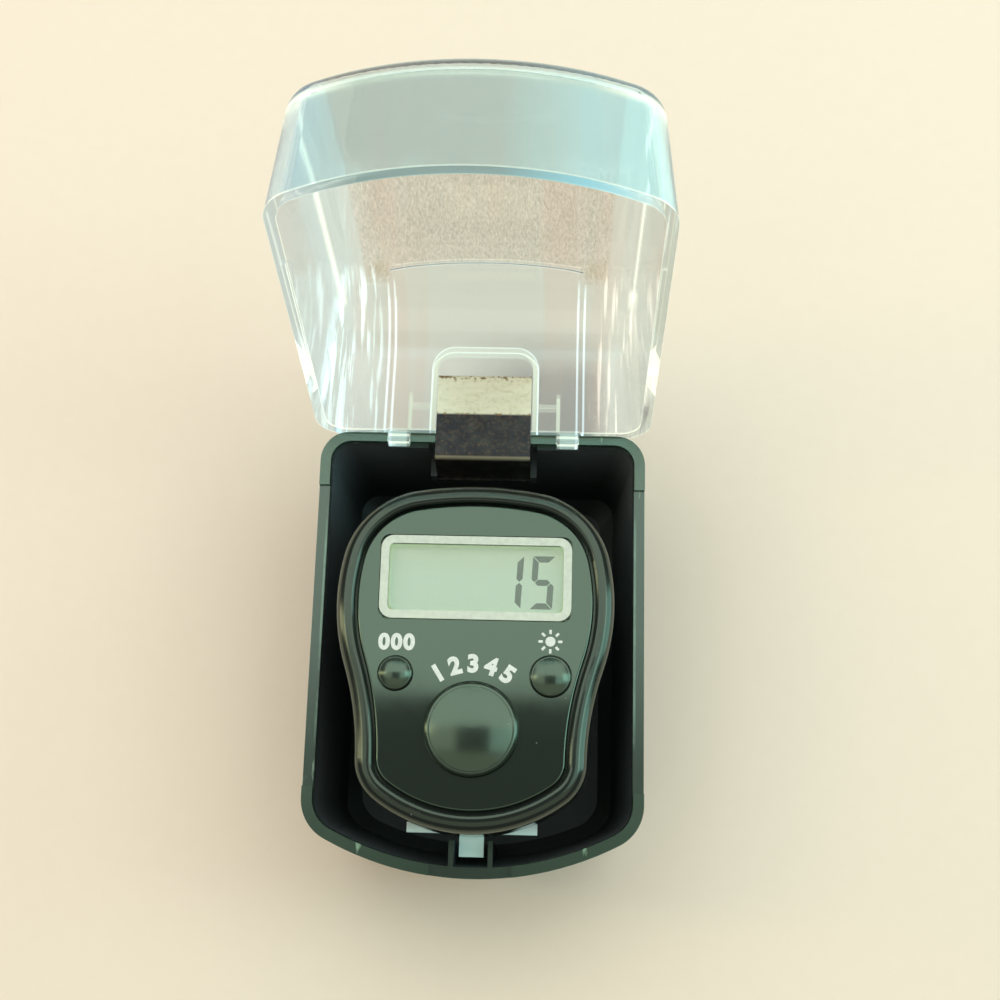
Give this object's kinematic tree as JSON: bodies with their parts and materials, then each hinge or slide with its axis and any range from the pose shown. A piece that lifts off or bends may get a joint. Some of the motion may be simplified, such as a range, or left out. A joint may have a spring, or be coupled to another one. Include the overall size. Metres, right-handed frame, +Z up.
{
  "type": "digital finger counter in a hinged case",
  "caption": "Electronic finger tally counter with display, count, reset and light buttons and a finger ring, seated in a tapered black case with a clear hinged lid.",
  "frame": {"origin": "middle of the case's flat underside", "axes": "+Z up, +Y from the bowed front to the hinge, +X to the right when the display is read"},
  "size_m": [0.0432, 0.0823, 0.0776],
  "materials": {
    "black_case": "smooth moulded black plastic",
    "clear_lid": "clear moulded plastic, finely scratched",
    "clear_seat": "clear plastic strip, frosted",
    "spring_steel": "plated spring strip with specks of rust",
    "black_shell": "glossy moulded black plastic",
    "black_face": "high-gloss black plastic",
    "clear_window": "clear window",
    "lcd": "liquid-crystal cell",
    "light_plate": "milky light guide",
    "lamp": "moulded lamp body",
    "black_rubber": "soft black rubber",
    "grey_rubber": "grey silicone rubber",
    "carbon": "carbon-filled rubber",
    "board": "green laminate",
    "resin": "black resin drop",
    "chips": "small board components",
    "cell_can": "nickel-plated can",
    "contact_metal": "nickel-plated spring sheet",
    "screw_steel": "zinc-plated screw",
    "black_button": "polished black plastic"
  },
  "bodies": {
    "case": {"case_base": "black_case", "seat_strip": "clear_seat", "hinge_spring": "spring_steel"},
    "lid": {"case_lid": "clear_lid"},
    "counter": {"bezel_ring": "black_shell", "face_plate": "black_face", "rear_shell": "black_shell", "display_window": "clear_window", "lcd_glass": "lcd", "light_guide": "light_plate", "backlight_lamp": "lamp", "contact_strip": "grey_rubber", "circuit_board": "board", "chip_cover": "resin", "board_chips": "chips", "cell_left": "cell_can", "cell_right": "cell_can", "cell_contact_left": "contact_metal", "cell_contact_right": "contact_metal", "cell_bridge": "contact_metal", "battery_door": "black_shell", "door_screw": "screw_steel", "housing_screws": "screw_steel", "finger_ring": "black_rubber", "count_pad": "grey_rubber", "reset_pad": "grey_rubber", "led_pad": "grey_rubber"},
    "count_key": {"count_button": "black_button", "count_contact": "carbon"},
    "reset_key": {"reset_button": "black_button", "reset_contact": "carbon"},
    "led_key": {"led_button": "black_button", "led_contact": "carbon"}
  },
  "joints": [
    {"name": "lid_hinge", "type": "hinge", "parent": "case", "child": "lid", "pos_m": [0, 0.02747, 0.0231], "axis": [-1, 0, 0], "range_deg": [-101, 0], "deforming": ["hinge_spring"]},
    {"name": "counter_lift", "type": "slide", "parent": "case", "child": "counter", "axis": [0, 0, 1], "range_m": [0, 0.06]},
    {"name": "count_press", "type": "slide", "parent": "counter", "child": "count_key", "axis": [0, 0, -1], "range_m": [0, 0.0008], "stiffness_N_per_m": 1200, "deforming": ["count_pad"]},
    {"name": "reset_press", "type": "slide", "parent": "counter", "child": "reset_key", "axis": [0, 0, -1], "range_m": [0, 0.0006], "stiffness_N_per_m": 1500, "deforming": ["reset_pad"]},
    {"name": "led_press", "type": "slide", "parent": "counter", "child": "led_key", "axis": [0, 0, -1], "range_m": [0, 0.0006], "stiffness_N_per_m": 1500, "deforming": ["led_pad"]}
  ]
}
